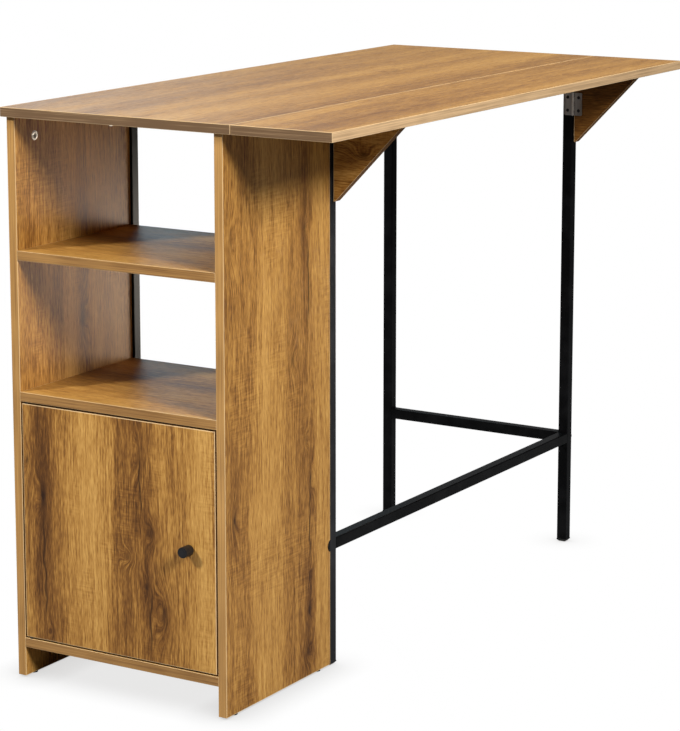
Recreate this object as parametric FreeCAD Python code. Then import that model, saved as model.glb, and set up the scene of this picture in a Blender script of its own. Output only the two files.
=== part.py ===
import FreeCAD, Part
import os

# Kitchen table with a storage cabinet: a fixed top and a drop leaf on a steel frame, a cabinet
# with two open compartments and one behind a door, and two swing brackets that hold the leaf up.
#
# Frame of the part, in millimetres: X runs along the table, with the cabinet at the -X end and its
# door facing -X. The leaf is on the -Y side, +Z is up and the floor is z = 0. The origin is the
# bottom centre of the whole table, the door knob included.

Vector = FreeCAD.Vector
X_AXIS = Vector(1, 0, 0)
Y_AXIS = Vector(0, 1, 0)
Z_AXIS = Vector(0, 0, 1)

# ---------------------------------------------------------------- driving dimensions: table top
table_length = 1200.0
table_height = 915.0
fixed_top_width = 425.0
leaf_width = 174.0
top_thickness = 15.0
seam_gap = 1.0
top_arris_radius = 1.0

# ------------------------------------------------------------------- driving dimensions: cabinet
panel_thickness = 15.0
shelf_thickness = 15.0
cabinet_depth = 300.0
cabinet_setback = 10.0
rear_inset = 5.0
open_shelf_height = 209.0
toe_space_height = 51.0
board_arris_radius = 0.5
back_thickness = 3.0
back_groove_depth = 5.0
back_rear_inset = 10.0
back_clearance = 0.2
glide_height = 3.0
glide_radius = 6.0
glide_edge_inset = 30.0
glide_nail_radius = 1.0
glide_nail_length = 14.0

# ---------------------------------------------------------------------- driving dimensions: door
door_thickness = 15.0
door_gap = 3.0
door_arris_radius = 0.8
pivot_edge_inset = 7.5
pivot_face_inset = 5.0
pivot_pin_radius = 2.0
pivot_pin_in_door = 14.0
pivot_pin_out = 10.0
pivot_running_clearance = 0.05
bush_radius = 3.4
bush_length = 9.5
bush_flange_radius = 4.5
bush_flange_thickness = 2.7
knob_radius = 8.5
knob_length = 20.0
knob_edge_radius = 1.2
knob_edge_inset = 48.0
knob_screw_radius = 2.0
knob_screw_grip = 10.0
catch_length = 40.0
catch_depth = 12.0
catch_height = 12.0
catch_side_gap = 12.0
catch_running_gap = 0.3
catch_screw_grip = 10.0
catch_screw_head_radius = 2.4
catch_screw_head_height = 1.6
magnet_length = 26.0
magnet_depth = 8.0
magnet_height = 7.0
strike_length = 34.0
strike_height = 12.0
strike_thickness = 1.2
strike_edge_inset = 1.0
strike_screw_length = 10.0

# --------------------------------------------------------------- driving dimensions: steel frame
tube_size = 19.0
tube_wall = 1.2
tube_corner_radius = 2.0
far_overhang = 26.0
low_rail_underside = 192.0
cap_height = 5.0
cap_chamfer = 3.5
cap_plug_length = 12.0
rail_nut_length = 12.0
bolt_radius = 3.0
bolt_head_radius = 8.0
bolt_head_height = 5.0
bolt_notch_clearance = 2.5

# -------------------------------------------------- driving dimensions: brackets and butt hinges
bracket_reach = 135.0
bracket_height = 140.0
bracket_thickness = 15.0
bracket_tip_flat = 3.0
bracket_top_clearance = 0.3
fold_clearance = 1.0
knuckle_radius = 2.0
knuckle_count = 5
knuckle_gap = 0.2
hinge_length = 42.0
hinge_flange_width = 18.0
hinge_flange_thickness = 1.2
hinge_pin_radius = 1.0
hinge_pin_clearance = 0.05
hinge_screw_from_pin = 11.0
hinge_screw_end_inset = 9.0
leaf_hinge_sweep_margin = 50.0

# ------------------------------------------------------------- driving dimensions: small fixings
fastener_clearance = 0.1
small_screw_radius = 1.5
small_screw_head_radius = 3.0
small_screw_head_depth = 1.2
wood_screw_length = 12.0
steel_screw_length = 8.0
long_screw_radius = 2.0
long_screw_head_radius = 4.0
long_screw_head_height = 2.5
post_screw_low = 100.0
post_screw_hinge_gap = 90.0
post_screw_count = 3
post_screw_grip = 26.0
top_screw_end_inset = 110.0
top_screw_count = 3
top_screw_grip = 10.0
cam_radius = 7.5
cam_depth = 12.0
cam_reach = 34.0
cam_edge_inset = 50.0
cam_slot_radius = 3.1
dowel_head_radius = 2.9
dowel_neck_radius = 1.6
dowel_body_radius = 3.4
dowel_thread_radius = 2.5
dowel_thread_length = 10.0
dowel_body_start = 9.0

# ------------------------------------------------------------------------------- derived places
# Along X
knob_overreach = max(0.0, knob_length - cabinet_setback)
end_x = -(table_length - knob_overreach) / 2
far_end_x = end_x + table_length
cabinet_front_x = end_x + cabinet_setback
cabinet_rear_x = cabinet_front_x + cabinet_depth
near_post_x = cabinet_rear_x
far_leg_x = far_end_x - far_overhang - tube_size
rail_start_x = near_post_x + tube_size
door_back_x = cabinet_front_x + door_thickness

# Along Y: the leaf side is -Y
front_inset = 2 * knuckle_radius + bracket_thickness + fold_clearance
overall_width = fixed_top_width + seam_gap + leaf_width
rear_edge_y = overall_width / 2
seam_y = rear_edge_y - fixed_top_width
leaf_rear_y = seam_y - seam_gap
leaf_front_y = leaf_rear_y - leaf_width
left_outer_y = rear_edge_y - rear_inset
left_inner_y = left_outer_y - panel_thickness
right_outer_y = seam_y + front_inset
right_inner_y = right_outer_y + panel_thickness
rear_tube_y = left_outer_y - tube_size
front_tube_y = right_outer_y

# Along Z
underside_z = table_height - top_thickness
upper_shelf_z = underside_z - open_shelf_height - shelf_thickness
middle_shelf_z = upper_shelf_z - open_shelf_height - shelf_thickness
bottom_panel_z = toe_space_height
door_space_low_z = bottom_panel_z + shelf_thickness
door_low_z = door_space_low_z + door_gap
door_high_z = middle_shelf_z - door_gap
top_rail_z = underside_z - tube_size
tube_middle = tube_size / 2
low_bolt_z = low_rail_underside + tube_middle
top_bolt_z = top_rail_z + tube_middle
bracket_top_z = underside_z - bracket_top_clearance
bracket_hinge_z = bracket_top_z - bracket_height / 2

# Axes of the moving parts
pivot_x = cabinet_front_x + pivot_face_inset
pivot_y = left_inner_y - door_gap - pivot_edge_inset
knob_y = right_inner_y + door_gap + knob_edge_inset
knob_z = (door_low_z + door_high_z) / 2
bracket_pin_y = right_outer_y - knuckle_radius
near_pin_x = rail_start_x + knuckle_radius
far_pin_x = far_leg_x - knuckle_radius
leaf_pin_y = seam_y - seam_gap / 2
leaf_pin_z = underside_z - knuckle_radius
bracket_sweep = bracket_reach + knuckle_radius

nodes = {}


# ------------------------------------------------------------------------------ shape functions
parallel_tolerance = 0.01


def box(x0, y0, z0, x1, y1, z1):
    """A block between two opposite corners."""
    return Part.makeBox(x1 - x0, y1 - y0, z1 - z0, Vector(x0, y0, z0))


def rod(radius, length, start, direction):
    """A round bar from its start point."""
    return Part.makeCylinder(radius, length, start, direction)


def edges_along(solid, axis):
    """The straight edges of a solid that run along one axis."""
    found = []
    for edge in solid.Edges:
        run = edge.Vertexes[-1].Point.sub(edge.Vertexes[0].Point)
        if run.Length > 0 and run.normalize().cross(axis).Length < parallel_tolerance:
            found.append(edge)
    return found


def board(x0, y0, z0, x1, y1, z1, arris):
    """A rectangular board with its arrises rounded."""
    plain = box(x0, y0, z0, x1, y1, z1)
    return plain.makeFillet(arris, plain.Edges)


def rounded_bar(low, high, axis, radius):
    """A square bar whose long corners are rounded."""
    plain = box(low.x, low.y, low.z, high.x, high.y, high.z)
    return plain.makeFillet(radius, edges_along(plain, axis))


def square_tube(low, high, axis):
    """A square steel tube between two corners, open at both ends."""
    wall = Vector(tube_wall, tube_wall, tube_wall)
    along = axis * (2 * tube_wall)
    bore = rounded_bar(low + wall - along, high - wall + along, axis, tube_corner_radius - tube_wall)
    return rounded_bar(low, high, axis, tube_corner_radius).cut(bore)


def flat_screw(start, direction, length, grow=0.0):
    """A countersunk screw whose flat head starts at a point; grow makes its hole."""
    head = Part.makeCone(small_screw_head_radius + grow, small_screw_radius + grow,
                         small_screw_head_depth, start, direction)
    return head.fuse(rod(small_screw_radius + grow, length + grow, start, direction)).removeSplitter()


def headed_screw(seat, direction, radius, length, head_radius, head_height):
    """A screw or bolt with a round head that stands on its seat."""
    head = rod(head_radius, head_height, seat, direction * -1)
    crown_edge = [edge for edge in head.Edges if edge.BoundBox.DiagonalLength > head_radius
                  and abs((edge.CenterOfMass - seat).dot(direction)) > head_height / 2
                  and edge.Curve.TypeId == "Part::GeomCircle"]
    head = head.makeFillet(head_height / 2, crown_edge)
    return head.fuse(rod(radius, length, seat, direction)).removeSplitter()


def group(solids):
    """Separate solids that share one node."""
    return Part.makeCompound(solids)


# ------------------------------------------------------------------------------ cam lock joints
# A cam lock sits in the face of one board and pulls on a dowel screwed into the other board. Each
# joint is given by the middle of the cam's face, the way into its board, the way to the other
# board and the thickness of its board. The dowel lies halfway through that board.
def cam_lock(mouth, into_board, to_mate, thickness):
    middle = mouth + into_board * (thickness / 2)
    body = rod(cam_radius, cam_depth, mouth, into_board)
    slot_start = middle - to_mate * dowel_head_radius
    slot = rod(cam_slot_radius, cam_radius + 2 * dowel_head_radius, slot_start, to_mate)
    return body.cut(slot)


def cam_dowel(mouth, into_board, to_mate, thickness):
    middle = mouth + into_board * (thickness / 2)
    head = rod(dowel_head_radius, dowel_head_radius, middle - to_mate * (dowel_head_radius / 2), to_mate)
    neck = rod(dowel_neck_radius, dowel_body_start, middle, to_mate)
    body_length = cam_reach - dowel_body_start
    shank = rod(dowel_body_radius, body_length, middle + to_mate * dowel_body_start, to_mate)
    thread = rod(dowel_thread_radius, dowel_thread_length, middle + to_mate * cam_reach, to_mate)
    return head.fuse([neck, shank, thread]).removeSplitter()


def cam_holes(mouth, into_board, to_mate, thickness):
    """The holes of one cam joint, for both boards: the cam's pocket and the dowel's bores."""
    middle = mouth + into_board * (thickness / 2)
    pocket = rod(cam_radius + fastener_clearance, cam_depth + fastener_clearance, mouth, into_board)
    bore = rod(dowel_body_radius + fastener_clearance, cam_reach, middle, to_mate)
    thread = rod(dowel_thread_radius + fastener_clearance, dowel_thread_length + fastener_clearance,
                 middle + to_mate * cam_reach, to_mate)
    return [pocket, bore, thread]


cam_rows_x = [cabinet_front_x + cam_edge_inset, cabinet_rear_x - cam_edge_inset]
top_cams = []
for row_x in cam_rows_x:
    cam_z = underside_z - cam_reach
    top_cams.append((Vector(row_x, left_inner_y, cam_z), Y_AXIS, Z_AXIS, panel_thickness))
    top_cams.append((Vector(row_x, right_inner_y, cam_z), Y_AXIS * -1, Z_AXIS, panel_thickness))

shelf_cams = []
for shelf_z in [upper_shelf_z, middle_shelf_z, bottom_panel_z]:
    for row_x in cam_rows_x:
        left_cam = Vector(row_x, left_inner_y - cam_reach, shelf_z)
        right_cam = Vector(row_x, right_inner_y + cam_reach, shelf_z)
        shelf_cams.append((left_cam, Z_AXIS, Y_AXIS, shelf_thickness))
        shelf_cams.append((right_cam, Z_AXIS, Y_AXIS * -1, shelf_thickness))

top_cam_holes = [hole for cam in top_cams for hole in cam_holes(*cam)]
shelf_cam_holes = [hole for cam in shelf_cams for hole in cam_holes(*cam)]

nodes["top_cam_locks"] = group([cam_lock(*cam) for cam in top_cams])
nodes["top_cam_dowels"] = group([cam_dowel(*cam) for cam in top_cams])
nodes["shelf_cam_locks"] = group([cam_lock(*cam) for cam in shelf_cams])
nodes["shelf_cam_dowels"] = group([cam_dowel(*cam) for cam in shelf_cams])


# --------------------------------------------------------------------------------- butt hinges
# One kind of small butt hinge is used for the leaf and for the brackets. In its own frame the pin
# runs along Z through the origin, the fixed flange reaches to +Y, the moving flange to -Y, and both
# lie on a mounting face at x = -knuckle_radius that looks to +X.
hinge_face_x = -knuckle_radius
hinge_outer_x = hinge_face_x + hinge_flange_thickness
knuckle_pitch = hinge_length / knuckle_count
hinge_screw_rows = [hinge_length / 2 - hinge_screw_end_inset, hinge_screw_end_inset - hinge_length / 2]


def hinge_flange(side, first_knuckle):
    """A flange with every second knuckle; side is +1 for the fixed one and -1 for the moving one."""
    low_z = -hinge_length / 2
    low_y = min(0.0, side * hinge_flange_width)
    plate = box(hinge_face_x, low_y, low_z, hinge_outer_x, low_y + hinge_flange_width, -low_z)
    room = []
    knuckles = []
    for place in range(knuckle_count):
        start = Vector(0, 0, low_z + place * knuckle_pitch)
        if place % 2 == first_knuckle:
            trimmed = knuckle_pitch - knuckle_gap
            knuckles.append(rod(knuckle_radius, trimmed, start + Z_AXIS * (knuckle_gap / 2), Z_AXIS))
        else:
            room.append(rod(knuckle_radius + knuckle_gap, knuckle_pitch, start, Z_AXIS))
    flange = plate.cut(room).fuse(knuckles).removeSplitter()
    bore = rod(hinge_pin_radius + hinge_pin_clearance, hinge_length, Vector(0, 0, low_z), Z_AXIS)
    return flange.cut([bore] + hinge_screws(side, wood_screw_length, fastener_clearance))


def hinge_pin():
    return rod(hinge_pin_radius, hinge_length, Vector(0, 0, -hinge_length / 2), Z_AXIS)


def hinge_screws(side, length, grow=0.0):
    """The two screws of one flange, or their holes."""
    screws = []
    for row_z in hinge_screw_rows:
        start = Vector(hinge_outer_x, side * hinge_screw_from_pin, row_z)
        screws.append(flat_screw(start, X_AXIS * -1, length, grow))
    return screws


def placed(shapes, pin_point, turn):
    """Shapes of the hinge's own frame, turned about Y and moved to the pin's middle."""
    placement = FreeCAD.Placement(pin_point, FreeCAD.Rotation(Y_AXIS, turn))
    moved = []
    for shape in shapes:
        copy = shape.copy()
        copy.Placement = placement
        moved.append(copy)
    return moved


# Turns about Y that lay the mounting face on a post's +X face, on a leg's -X face or on an underside
positive_x_angle = 0
negative_x_angle = 180
underside_angle = 90

near_pin = Vector(near_pin_x, bracket_pin_y, bracket_hinge_z)
far_pin = Vector(far_pin_x, bracket_pin_y, bracket_hinge_z)

# The leaf's hinges stay clear of the quarter circles that the brackets sweep under the top
free_span_start = near_pin_x + bracket_sweep + leaf_hinge_sweep_margin
free_span_end = far_pin_x - bracket_sweep - leaf_hinge_sweep_margin
cabinet_middle_x = (cabinet_front_x + cabinet_rear_x) / 2
leaf_hinge_places_x = [cabinet_middle_x, free_span_start + hinge_length / 2, free_span_end - hinge_length / 2]
leaf_pins = [Vector(place_x, leaf_pin_y, leaf_pin_z) for place_x in leaf_hinge_places_x]


def at_leaf_pins(shapes):
    return [shape for pin in leaf_pins for shape in placed(shapes, pin, underside_angle)]


fixed_flange = hinge_flange(1, 0)
moving_flange = hinge_flange(-1, 1)

nodes["leaf_hinge_fixed_flanges"] = group(at_leaf_pins([fixed_flange]))
nodes["leaf_hinge_moving_flanges"] = group(at_leaf_pins([moving_flange]))
nodes["leaf_hinge_pins"] = group(at_leaf_pins([hinge_pin()]))
nodes["leaf_hinge_top_screws"] = group(at_leaf_pins(hinge_screws(1, wood_screw_length)))
nodes["leaf_hinge_leaf_screws"] = group(at_leaf_pins(hinge_screws(-1, wood_screw_length)))

for side_name, pin, turn in [("near", near_pin, positive_x_angle), ("far", far_pin, negative_x_angle)]:
    nodes[side_name + "_hinge_frame_flange"] = placed([fixed_flange], pin, turn)[0]
    nodes[side_name + "_hinge_bracket_flange"] = placed([moving_flange], pin, turn)[0]
    nodes[side_name + "_hinge_pin"] = placed([hinge_pin()], pin, turn)[0]
    nodes[side_name + "_bracket_screws"] = group(placed(hinge_screws(-1, wood_screw_length), pin, turn))


def steel_hinge_screws(grow=0.0):
    """The screws of the bracket hinges in the post and in the leg, or their holes."""
    screws = hinge_screws(1, steel_screw_length, grow)
    return placed(screws, near_pin, positive_x_angle) + placed(screws, far_pin, negative_x_angle)


nodes["frame_hinge_screws"] = group(steel_hinge_screws())


# ----------------------------------------------------------------------------------- the brackets
def bracket(low_x, pin, turn):
    """A three-cornered board that stands under the leaf, its upright edge beside the post."""
    inner_y = right_outer_y - 2 * knuckle_radius
    outer_y = inner_y - bracket_reach
    low_z = bracket_top_z - bracket_height
    corners = [
        Vector(low_x, inner_y, bracket_top_z),
        Vector(low_x, outer_y, bracket_top_z),
        Vector(low_x, outer_y, bracket_top_z - bracket_tip_flat),
        Vector(low_x, inner_y - bracket_tip_flat, low_z),
        Vector(low_x, inner_y, low_z),
    ]
    outline = Part.Face(Part.makePolygon(corners + corners[:1]))
    solid = outline.extrude(X_AXIS * bracket_thickness)
    solid = solid.makeFillet(board_arris_radius, solid.Edges)
    return solid.cut(placed(hinge_screws(-1, wood_screw_length, fastener_clearance), pin, turn))


nodes["near_bracket"] = bracket(rail_start_x - bracket_thickness, near_pin, positive_x_angle)
nodes["far_bracket"] = bracket(far_leg_x, far_pin, negative_x_angle)

# --------------------------------------------------------------------------- frame fixings, placed
front_tube_middle_y = front_tube_y + tube_middle
rear_tube_middle_y = rear_tube_y + tube_middle

rail_ends = []
for middle_y, bolt_z in [(front_tube_middle_y, top_bolt_z), (rear_tube_middle_y, top_bolt_z),
                         (front_tube_middle_y, low_bolt_z)]:
    rail_ends.append((Vector(near_post_x, middle_y, bolt_z), X_AXIS))
    rail_ends.append((Vector(far_leg_x + tube_size, middle_y, bolt_z), X_AXIS * -1))


def rail_bolt(seat, inward):
    """A bolt through a post into the nut in the end of a rail."""
    length = tube_size + rail_nut_length
    return headed_screw(seat, inward, bolt_radius, length, bolt_head_radius, bolt_head_height)


def rail_nut(seat, inward):
    """A threaded block pressed into the end of a rail."""
    half = tube_middle - tube_wall - fastener_clearance
    end = seat + inward * tube_size
    inner = end + inward * rail_nut_length
    low_x = min(end.x, inner.x)
    low = Vector(low_x, end.y - half, end.z - half)
    high = Vector(low_x + rail_nut_length, end.y + half, end.z + half)
    block = rounded_bar(low, high, X_AXIS, tube_corner_radius - tube_wall)
    hole = rod(bolt_radius + fastener_clearance, rail_nut_length, end, inward)
    return block.cut(hole)


bolt_holes = []
for seat, inward in rail_ends:
    bolt_holes.append(rod(bolt_radius + fastener_clearance, tube_size, seat, inward))

nodes["rail_bolts"] = group([rail_bolt(*end) for end in rail_ends])
nodes["rail_end_nuts"] = group([rail_nut(*end) for end in rail_ends])

# The post screws run through a post into the middle of a side panel's rear edge, from the foot of
# the post to a gap below the bracket's hinge
post_screw_seats = []
post_screw_run = bracket_hinge_z - hinge_length / 2 - post_screw_hinge_gap - post_screw_low
for middle_y in [right_outer_y + panel_thickness / 2, left_outer_y - panel_thickness / 2]:
    for step in range(post_screw_count):
        seat_z = post_screw_low + post_screw_run * step / (post_screw_count - 1)
        post_screw_seats.append(Vector(near_post_x + tube_size, middle_y, seat_z))
post_screw_length = tube_size + post_screw_grip
post_screws = []
post_screw_holes = []
for seat in post_screw_seats:
    post_screws.append(headed_screw(seat, X_AXIS * -1, long_screw_radius, post_screw_length,
                                    long_screw_head_radius, long_screw_head_height))
    post_screw_holes.append(rod(long_screw_radius + fastener_clearance,
                                post_screw_length + fastener_clearance, seat, X_AXIS * -1))
nodes["post_screws"] = group(post_screws)

top_screw_seats = []
rail_run = far_leg_x - rail_start_x
for middle_y in [front_tube_middle_y, rear_tube_middle_y]:
    for step in range(top_screw_count):
        share = step / (top_screw_count - 1)
        place_x = rail_start_x + top_screw_end_inset + share * (rail_run - 2 * top_screw_end_inset)
        top_screw_seats.append(Vector(place_x, middle_y, top_rail_z))
top_screw_length = tube_size + top_screw_grip
top_screws = []
top_screw_holes = []
for seat in top_screw_seats:
    top_screws.append(headed_screw(seat, Z_AXIS, long_screw_radius, top_screw_length,
                                   long_screw_head_radius, long_screw_head_height))
    top_screw_holes.append(rod(long_screw_radius + fastener_clearance,
                               top_screw_length + fastener_clearance, seat, Z_AXIS))
nodes["top_screws"] = group(top_screws)

frame_holes = bolt_holes + post_screw_holes + top_screw_holes + steel_hinge_screws(fastener_clearance)


# -------------------------------------------------------------------------------- the steel frame
def upright(low_x, low_y):
    """A post or leg from its end cap to the underside of the top."""
    low = Vector(low_x, low_y, cap_height)
    high = Vector(low_x + tube_size, low_y + tube_size, underside_z)
    return square_tube(low, high, Z_AXIS).cut(frame_holes)


def cross_rail(low_x, low_z):
    """A rail welded between a front and a rear upright."""
    low = Vector(low_x, front_tube_y + tube_size, low_z)
    high = Vector(low_x + tube_size, rear_tube_y, low_z + tube_size)
    return square_tube(low, high, Y_AXIS)


def long_rail(low_y, low_z):
    """A rail bolted between the near and the far end of the frame."""
    low = Vector(rail_start_x, low_y, low_z)
    high = Vector(far_leg_x, low_y + tube_size, low_z + tube_size)
    return square_tube(low, high, X_AXIS).cut(frame_holes)


nodes["near_front_post"] = upright(near_post_x, front_tube_y)
nodes["near_rear_post"] = upright(near_post_x, rear_tube_y)
nodes["far_front_leg"] = upright(far_leg_x, front_tube_y)
nodes["far_rear_leg"] = upright(far_leg_x, rear_tube_y)
nodes["near_top_cross_rail"] = cross_rail(near_post_x, top_rail_z)
nodes["far_top_cross_rail"] = cross_rail(far_leg_x, top_rail_z)
nodes["far_low_cross_rail"] = cross_rail(far_leg_x, low_rail_underside)
nodes["top_front_rail"] = long_rail(front_tube_y, top_rail_z)
nodes["top_rear_rail"] = long_rail(rear_tube_y, top_rail_z)
nodes["low_front_rail"] = long_rail(front_tube_y, low_rail_underside)


def end_cap(low_x, low_y):
    """A plastic cap with a chamfered foot and a plug that is pressed into the tube."""
    head = box(low_x, low_y, 0, low_x + tube_size, low_y + tube_size, cap_height)
    foot_edges = [edge for edge in head.Edges if edge.BoundBox.ZMax < cap_height / 2]
    head = head.makeChamfer(cap_chamfer, foot_edges)
    inset = tube_wall + fastener_clearance
    low = Vector(low_x + inset, low_y + inset, cap_height)
    high = Vector(low_x + tube_size - inset, low_y + tube_size - inset, cap_height + cap_plug_length)
    plug = rounded_bar(low, high, Z_AXIS, tube_corner_radius - tube_wall)
    return head.fuse(plug).removeSplitter()


nodes["near_front_end_cap"] = end_cap(near_post_x, front_tube_y)
nodes["near_rear_end_cap"] = end_cap(near_post_x, rear_tube_y)
nodes["far_front_end_cap"] = end_cap(far_leg_x, front_tube_y)
nodes["far_rear_end_cap"] = end_cap(far_leg_x, rear_tube_y)

# ---------------------------------------------------------------------------------- the table top
leaf_hinge_top_holes = at_leaf_pins(hinge_screws(1, wood_screw_length, fastener_clearance))
leaf_hinge_leaf_holes = at_leaf_pins(hinge_screws(-1, wood_screw_length, fastener_clearance))

fixed_top = board(end_x, seam_y, underside_z, far_end_x, rear_edge_y, table_height, top_arris_radius)
nodes["fixed_top"] = fixed_top.cut(top_cam_holes + top_screw_holes + leaf_hinge_top_holes)

drop_leaf = board(end_x, leaf_front_y, underside_z, far_end_x, leaf_rear_y, table_height, top_arris_radius)
nodes["drop_leaf"] = drop_leaf.cut(leaf_hinge_leaf_holes)

# ------------------------------------------------------------------------------------ the cabinet
back_low_x = cabinet_rear_x - back_rear_inset - back_thickness
back_panel = box(back_low_x, right_inner_y - back_groove_depth, door_space_low_z - back_groove_depth,
                 back_low_x + back_thickness, left_inner_y + back_groove_depth,
                 middle_shelf_z + back_groove_depth)
nodes["back_panel"] = back_panel

half_play = back_clearance / 2
back_groove = box(back_low_x - half_play, right_inner_y - back_groove_depth - half_play,
                  door_space_low_z - back_groove_depth - half_play,
                  back_low_x + back_thickness + half_play, left_inner_y + back_groove_depth + half_play,
                  middle_shelf_z + back_groove_depth + half_play)

glide_places_x = [cabinet_front_x + glide_edge_inset, cabinet_rear_x - glide_edge_inset]


def glides(outer_y, side, grow=0.0):
    """The nailed glides under one side panel, or the holes of their nails."""
    middle_y = outer_y + side * panel_thickness / 2
    pieces = []
    for place_x in glide_places_x:
        seat = Vector(place_x, middle_y, glide_height)
        nail = rod(glide_nail_radius + grow, glide_nail_length + grow, seat, Z_AXIS)
        if grow > 0:
            pieces.append(nail)
        else:
            disc = rod(glide_radius, glide_height, Vector(place_x, middle_y, 0), Z_AXIS)
            pieces.append(disc.fuse(nail).removeSplitter())
    return pieces


nodes["left_panel_glides"] = group(glides(left_outer_y, -1))
nodes["right_panel_glides"] = group(glides(right_outer_y, 1))


def bolt_notch(middle_y, bolt_z):
    """Room for a bolt head in the rear edge of a side panel."""
    radius = bolt_head_radius + bolt_notch_clearance
    depth = bolt_head_height + bolt_notch_clearance
    length = 2 * panel_thickness + tube_size
    start = Vector(cabinet_rear_x - depth + radius, middle_y - length / 2, bolt_z)
    return rod(radius, length, start, Y_AXIS)


def side_panel(low_y, outer_y, side, notches):
    """A side panel from its glides to the underside of the top."""
    plain = board(cabinet_front_x, low_y, glide_height, cabinet_rear_x, low_y + panel_thickness, underside_z,
                  board_arris_radius)
    holes = top_cam_holes + shelf_cam_holes + post_screw_holes + [back_groove]
    return plain.cut(holes + notches + glides(outer_y, side, fastener_clearance))


left_notches = [bolt_notch(rear_tube_middle_y, top_bolt_z)]
right_notches = [bolt_notch(front_tube_middle_y, top_bolt_z), bolt_notch(front_tube_middle_y, low_bolt_z)]
nodes["left_side_panel"] = side_panel(left_inner_y, left_outer_y, -1, left_notches)
nodes["right_side_panel"] = side_panel(right_outer_y, right_outer_y, 1, right_notches)


def shelf(low_z):
    """A board between the side panels."""
    plain = board(cabinet_front_x, right_inner_y, low_z, cabinet_rear_x, left_inner_y,
                  low_z + shelf_thickness, board_arris_radius)
    return plain.cut(shelf_cam_holes + [back_groove])


# ------------------------------------------------------------------------- door, pivots and catch
pin_top_z = door_high_z + pivot_pin_out
pin_low_z = door_low_z - pivot_pin_out
bush_room = bush_radius + fastener_clearance


def pivot_pin(start_z, direction):
    """A steel pin pressed into the door's edge; it stands out of the edge into its bush."""
    start = Vector(pivot_x, pivot_y, start_z)
    return rod(pivot_pin_radius, pivot_pin_in_door + pivot_pin_out, start, direction)


def pivot_bush(face_z, outward):
    """A flanged plastic bush in a shelf; outward points from the door into the shelf."""
    face = Vector(pivot_x, pivot_y, face_z)
    body = rod(bush_radius, bush_length, face, outward)
    flange = rod(bush_flange_radius, bush_flange_thickness, face, outward * -1)
    bore_start = face - outward * bush_flange_thickness
    bore = rod(pivot_pin_radius + pivot_running_clearance, bush_flange_thickness + bush_length,
               bore_start, outward)
    return body.fuse(flange).cut(bore)


upper_bush_hole = rod(bush_room, bush_length, Vector(pivot_x, pivot_y, middle_shelf_z), Z_AXIS)
lower_bush_hole = rod(bush_room, bush_length, Vector(pivot_x, pivot_y, door_space_low_z), Z_AXIS * -1)

nodes["upper_pivot_pin"] = pivot_pin(pin_top_z, Z_AXIS * -1)
nodes["lower_pivot_pin"] = pivot_pin(pin_low_z, Z_AXIS)
nodes["upper_pivot_bush"] = pivot_bush(middle_shelf_z, Z_AXIS)
nodes["lower_pivot_bush"] = pivot_bush(door_space_low_z, Z_AXIS * -1)

# The knob and the screw that holds it from inside the door
knob_seat = Vector(cabinet_front_x, knob_y, knob_z)
knob = rod(knob_radius, knob_length, knob_seat, X_AXIS * -1)
knob_rim = [edge for edge in knob.Edges if edge.BoundBox.XMax < cabinet_front_x - knob_length / 2
            and edge.Curve.TypeId == "Part::GeomCircle"]
knob = knob.makeFillet(knob_edge_radius, knob_rim)
knob_screw_seat = Vector(door_back_x, knob_y, knob_z)
knob_screw_length = door_thickness + knob_screw_grip
knob_screw_hole = rod(knob_screw_radius + fastener_clearance, knob_screw_length + fastener_clearance,
                      knob_screw_seat, X_AXIS * -1)
nodes["door_knob"] = knob.cut(knob_screw_hole)
nodes["knob_screw"] = headed_screw(knob_screw_seat, X_AXIS * -1, knob_screw_radius, knob_screw_length,
                                   long_screw_head_radius, long_screw_head_height)

# The magnetic catch hangs under the middle shelf and holds a steel plate on the door
catch_front_x = door_back_x + strike_thickness + catch_running_gap
catch_low_y = right_inner_y + catch_side_gap
catch_low_z = middle_shelf_z - catch_height
catch_middle_y = catch_low_y + catch_length / 2
catch_middle_z = catch_low_z + catch_height / 2
magnet = box(catch_front_x, catch_middle_y - magnet_length / 2, catch_middle_z - magnet_height / 2,
             catch_front_x + magnet_depth, catch_middle_y + magnet_length / 2,
             catch_middle_z + magnet_height / 2)
catch_body = box(catch_front_x, catch_low_y, catch_low_z, catch_front_x + catch_depth,
                 catch_low_y + catch_length, middle_shelf_z)
catch_screw_inset = (catch_length - magnet_length) / 4
catch_screw_length = catch_height + catch_screw_grip
catch_screws = []
catch_screw_holes = []
for place_y in [catch_low_y + catch_screw_inset, catch_low_y + catch_length - catch_screw_inset]:
    seat = Vector(catch_front_x + catch_depth / 2, place_y, catch_low_z)
    catch_screws.append(headed_screw(seat, Z_AXIS, small_screw_radius, catch_screw_length,
                                     catch_screw_head_radius, catch_screw_head_height))
    catch_screw_holes.append(rod(small_screw_radius + fastener_clearance,
                                 catch_screw_length + fastener_clearance, seat, Z_AXIS))
nodes["catch_magnet"] = magnet
nodes["catch_body"] = catch_body.cut([magnet] + catch_screw_holes)
nodes["catch_screws"] = group(catch_screws)

strike_high_z = door_high_z - strike_edge_inset
strike_low_z = strike_high_z - strike_height
strike = box(door_back_x, catch_middle_y - strike_length / 2, strike_low_z,
             door_back_x + strike_thickness, catch_middle_y + strike_length / 2, strike_high_z)
strike_screw_seat = Vector(door_back_x + strike_thickness, catch_middle_y, (strike_low_z + strike_high_z) / 2)
strike_screw_hole = flat_screw(strike_screw_seat, X_AXIS * -1, strike_screw_length, fastener_clearance)
nodes["strike_plate"] = strike.cut(strike_screw_hole)
nodes["strike_screw"] = flat_screw(strike_screw_seat, X_AXIS * -1, strike_screw_length)

door = board(cabinet_front_x, right_inner_y + door_gap, door_low_z, door_back_x, left_inner_y - door_gap,
             door_high_z, door_arris_radius)


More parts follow.
